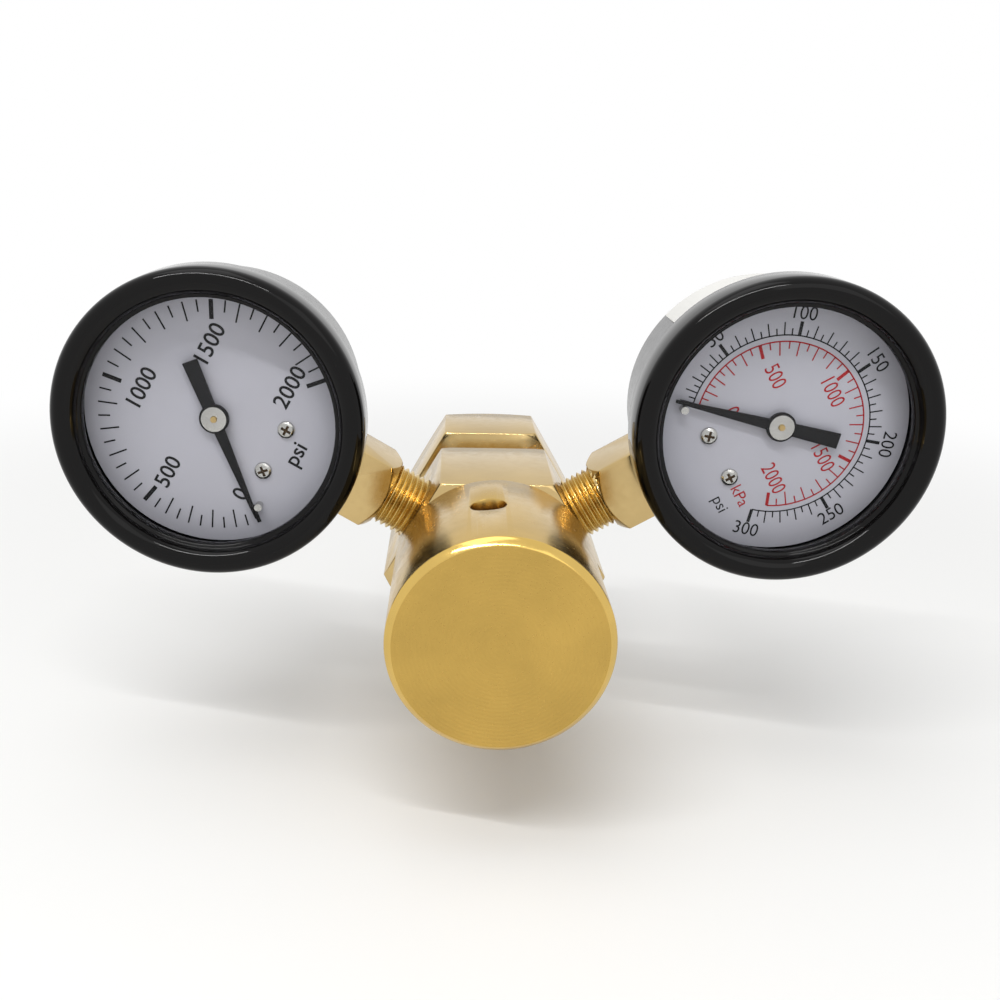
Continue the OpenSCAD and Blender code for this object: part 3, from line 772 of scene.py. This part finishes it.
def print_low_scale():
    """Outlet pressure: black 0 to 300 outside, and red 0 to 2000 inside it."""
    angle_of = {v: dial_angle(v, LOW_MARKS) for v in range(0, 301, 5)}
    parts = [arc(LOW_ARC, angle_of[0], angle_of[300], ARC_WIDTH)]
    parts += scale_marks(angle_of, 50, 10, LOW_ARC, LOW_STROKES)
    for value in range(50, 301, 50):
        # The numerals follow the ring, and the last two are turned over to be read from below.
        angle = angle_of[value]
        turn = angle + (math.pi if value > 200 else 0)
        parts.append(low_word(str(value), LOW_NUMERALS, angle, LOW_TYPE, turn))
    text, radius, angle = LOW_UNIT
    parts.append(low_word(text, radius, math.radians(angle), UNIT_TYPE))
    print_on("right", "low_scale", parts, "pointer_black")

    angle_of = {v: dial_angle(v * PSI_PER_KPA, LOW_MARKS) for v in range(0, 2001, 50)}
    parts = [arc(LOW_RED_ARC, angle_of[0], angle_of[2000], RED_ARC_WIDTH)]
    parts += scale_marks(angle_of, 500, 100, LOW_RED_ARC, LOW_RED_STROKES)
    for text, radius, angle in LOW_RED_NUMERALS:
        parts.append(low_word(text, radius, math.radians(angle), LOW_RED_TYPE))
    text, radius, angle = LOW_RED_UNIT
    parts.append(low_word(text, radius, math.radians(angle), UNIT_TYPE))
    print_on("right", "low_scale_metric", parts, "red_ink")


# The other pieces


def finish_the_rest():
    """Every CAD node keeps its own mesh and takes its slot's finish, whether shown or replaced."""
    for node, piece in NODES.items():
        if not piece.material_slots:
            raise RuntimeError(f"{node} has no material slot")
        for place in piece.material_slots:
            place.link = "OBJECT"
            place.material = finish(SLOT_OF[node])


# Stage

LENS = 41.03  # mm
SENSOR = 36  # mm
NEAREST = 5 * MM  # what is closer than this to the camera isn't seen
EYE = Vector((-0.00689, -0.20886, 0.06492))  # m
LEAN, PITCH, ROLL = math.radians(-0.8), math.radians(19.23), math.radians(1.02)
SHIFT = (0.03374, 0.03577)
# Lamps as their place, width and height in metres; all of them face the middle of the object.
KEY_LAMP = ((-0.15, -0.1, 0.8), 0.5, 0.5)
FILL_LAMP = ((0.3, -0.55, 0.4), 0.4, 0.4)
STRIP_LAMP = ((-0.1, -0.35, 0.5), 0.5, 0.015)
FLOOR_RADIUS = 2.0
FLOOR_DROP = 0.5 * MM  # below the object's lowest point
FLOOR_FADE = (0.12, 0.3)  # the floor starts to fade at the first radius, and is white at the second
WHITE = (1.0, 1.0, 1.0, 1.0)


def aim_camera():
    """The camera turns by LEAN about Z, looks down by PITCH and rolls about its line of sight."""
    side = Vector((math.cos(LEAN), math.sin(LEAN), 0))
    level = Vector((-math.sin(LEAN), math.cos(LEAN), 0))
    ahead = level * math.cos(PITCH) - Vector((0, 0, math.sin(PITCH)))
    up = side.cross(ahead)
    right = side * math.cos(ROLL) + up * math.sin(ROLL)
    top = up * math.cos(ROLL) - side * math.sin(ROLL)
    data = bpy.data.cameras.new("camera")
    data.lens = LENS
    data.sensor_width = SENSOR
    data.shift_x, data.shift_y = SHIFT
    data.clip_start = NEAREST
    camera = bpy.data.objects.new("camera", data)
    bpy.context.scene.collection.objects.link(camera)
    turn = Matrix((right, top, -ahead)).transposed().to_4x4()
    camera.matrix_world = Matrix.Translation(EYE) @ turn
    bpy.context.scene.camera = camera


def softbox(name, layout, watts):
    place, width, height = layout
    middle = (Vector(CAD_BOX[0]) + Vector(CAD_BOX[1])) / 2
    data = bpy.data.lights.new(name, "AREA")
    data.shape = "RECTANGLE"
    data.size = width
    data.size_y = height
    data.energy = watts
    lamp = bpy.data.objects.new(name, data)
    bpy.context.scene.collection.objects.link(lamp)
    lamp.location = place
    lamp.rotation_euler = (middle - Vector(place)).to_track_quat("-Z", "Y").to_euler()


def light_world():
    """Even light on the object, and white wherever the camera or a reflection looks past it."""
    world = bpy.data.worlds.new("studio")
    world.use_nodes = True
    tree = world.node_tree
    tree.nodes.clear()
    path = add_node(tree, "ShaderNodeLightPath").outputs
    seen = add_node(
        tree, "ShaderNodeMath", {0: path["Is Camera Ray"], 1: path["Is Glossy Ray"]},
        operation="MAXIMUM",
    ).outputs[0]
    seen = add_node(
        tree, "ShaderNodeMath", {0: seen, 1: path["Is Transmission Ray"]}, operation="MAXIMUM"
    ).outputs[0]
    level = bpy.context.scene.regulator_light.ambient
    grey = (level, level, level, 1.0)
    shade = add_node(tree, "ShaderNodeMix", {0: seen, 6: grey, 7: WHITE}, data_type="RGBA")
    glow = add_node(tree, "ShaderNodeBackground", {"Color": shade.outputs[2], "Strength": 1.0})
    add_node(tree, "ShaderNodeOutputWorld", {"Surface": glow.outputs[0]})
    bpy.context.scene.world = world


def lay_floor():
    """A matt floor that keeps the object's shadow and fades to white well away from it."""
    low, high = CAD_BOX
    bpy.ops.object.select_all(action="DESELECT")
    bpy.ops.mesh.primitive_circle_add(vertices=96, radius=FLOOR_RADIUS, fill_type="NGON")
    floor = bpy.context.object
    floor.name = "floor"
    floor.location = (0, (low[1] + high[1]) / 2, low[2] - FLOOR_DROP)
    apply_place(floor)
    made, tree, shader, place = surface("matt_floor", Roughness=0.9)
    shader.inputs["Base Color"].default_value = bpy.context.scene.regulator_colours.floor
    away = add_node(tree, "ShaderNodeVectorMath", {0: place}, operation="LENGTH").outputs["Value"]
    near, far = FLOOR_FADE
    fade = add_node(
        tree, "ShaderNodeMapRange", {"Value": away, "From Min": near, "From Max": far},
        interpolation_type="SMOOTHSTEP",
    ).outputs["Result"]
    glow = add_node(tree, "ShaderNodeEmission", {"Color": WHITE, "Strength": 1.0})
    both = add_node(
        tree, "ShaderNodeMixShader",
        {0: fade, 1: shader.outputs["BSDF"], 2: glow.outputs["Emission"]},
    )
    output = next(n for n in tree.nodes if n.bl_idname == "ShaderNodeOutputMaterial")
    tree.links.new(both.outputs[0], output.inputs["Surface"])
    floor.data.materials.append(made)


def set_stage():
    light = bpy.context.scene.regulator_light
    aim_camera()
    light_world()
    lay_floor()
    softbox("key", KEY_LAMP, light.key_power)
    softbox("fill", FILL_LAMP, light.fill_power)
    softbox("strip", STRIP_LAMP, light.strip_power)
    bpy.context.scene.view_settings.view_transform = "Standard"


# Add-on


class REGULATOR_OT_machined(bpy.types.Operator):
    """Breaks the edges of the brass pieces and gives them their finish"""

    bl_idname = "regulator.machined"
    bl_label = "Brass pieces"

    def execute(self, context):
        make_machined()
        return {"FINISHED"}


class REGULATOR_OT_shells(bpy.types.Operator):
    """Turns the bezels and enamels the gauge cases"""

    bl_idname = "regulator.shells"
    bl_label = "Gauge shells"

    def execute(self, context):
        make_shells()
        return {"FINISHED"}


class REGULATOR_OT_stems(bpy.types.Operator):
    """Cuts the helical threads of the gauge stems"""

    bl_idname = "regulator.stems"
    bl_label = "Gauge stems"

    def execute(self, context):
        make_stems()
        return {"FINISHED"}


class REGULATOR_OT_nut_thread(bpy.types.Operator):
    """Cuts the thread in the bore of the inlet nut"""

    bl_idname = "regulator.nut_thread"
    bl_label = "Nut thread"

    def execute(self, context):
        make_nut_thread()
        return {"FINISHED"}


class REGULATOR_OT_movements(bpy.types.Operator):
    """Finishes the pointers, hubs, stop pins and dial screws"""

    bl_idname = "regulator.movements"
    bl_label = "Pointers and screws"

    def execute(self, context):
        make_movements()
        return {"FINISHED"}


class REGULATOR_OT_high_scale(bpy.types.Operator):
    """Prints the cylinder pressure scale"""

    bl_idname = "regulator.high_scale"
    bl_label = "High scale"

    def execute(self, context):
        print_high_scale()
        return {"FINISHED"}


class REGULATOR_OT_low_scale(bpy.types.Operator):
    """Prints the outlet pressure scale in two units"""

    bl_idname = "regulator.low_scale"
    bl_label = "Low scale"

    def execute(self, context):
        print_low_scale()
        return {"FINISHED"}


class REGULATOR_OT_rest(bpy.types.Operator):
    """Gives each remaining piece the finish of its material slot"""

    bl_idname = "regulator.rest"
    bl_label = "Other finishes"

    def execute(self, context):
        finish_the_rest()
        return {"FINISHED"}


class REGULATOR_OT_stage(bpy.types.Operator):
    """Sets the floor, the lights, the white surroundings and the camera"""

    bl_idname = "regulator.stage"
    bl_label = "Stage"

    def execute(self, context):
        set_stage()
        return {"FINISHED"}


OPERATORS = (
    REGULATOR_OT_machined, REGULATOR_OT_shells, REGULATOR_OT_stems, REGULATOR_OT_nut_thread,
    REGULATOR_OT_movements, REGULATOR_OT_high_scale, REGULATOR_OT_low_scale,
    REGULATOR_OT_rest, REGULATOR_OT_stage,
)
GROUPS = {
    "regulator_colours": RegulatorColours,
    "regulator_sizes": RegulatorSizes,
    "regulator_light": RegulatorLight,
}


class REGULATOR_PT_panel(bpy.types.Panel):
    """Lists the settings and the steps"""

    bl_label = "Regulator"
    bl_space_type = "VIEW_3D"
    bl_region_type = "UI"
    bl_category = "Regulator"

    def draw(self, context):
        for group in GROUPS:
            settings = getattr(context.scene, group)
            box = self.layout.box()
            for name in settings.__annotations__:
                box.prop(settings, name)
        for step in OPERATORS:
            self.layout.operator(step.bl_idname)


CLASSES = (*GROUPS.values(), *OPERATORS, REGULATOR_PT_panel)


def register():
    for kind in CLASSES:
        bpy.utils.register_class(kind)
    for name, kind in GROUPS.items():
        setattr(bpy.types.Scene, name, bpy.props.PointerProperty(type=kind))


def unregister():
    for name in GROUPS:
        delattr(bpy.types.Scene, name)
    for kind in reversed(CLASSES):
        bpy.utils.unregister_class(kind)


def main():
    register()
    for step in OPERATORS:
        getattr(bpy.ops.regulator, step.bl_idname.split(".")[1])()


if __name__ == "__main__":
    main()
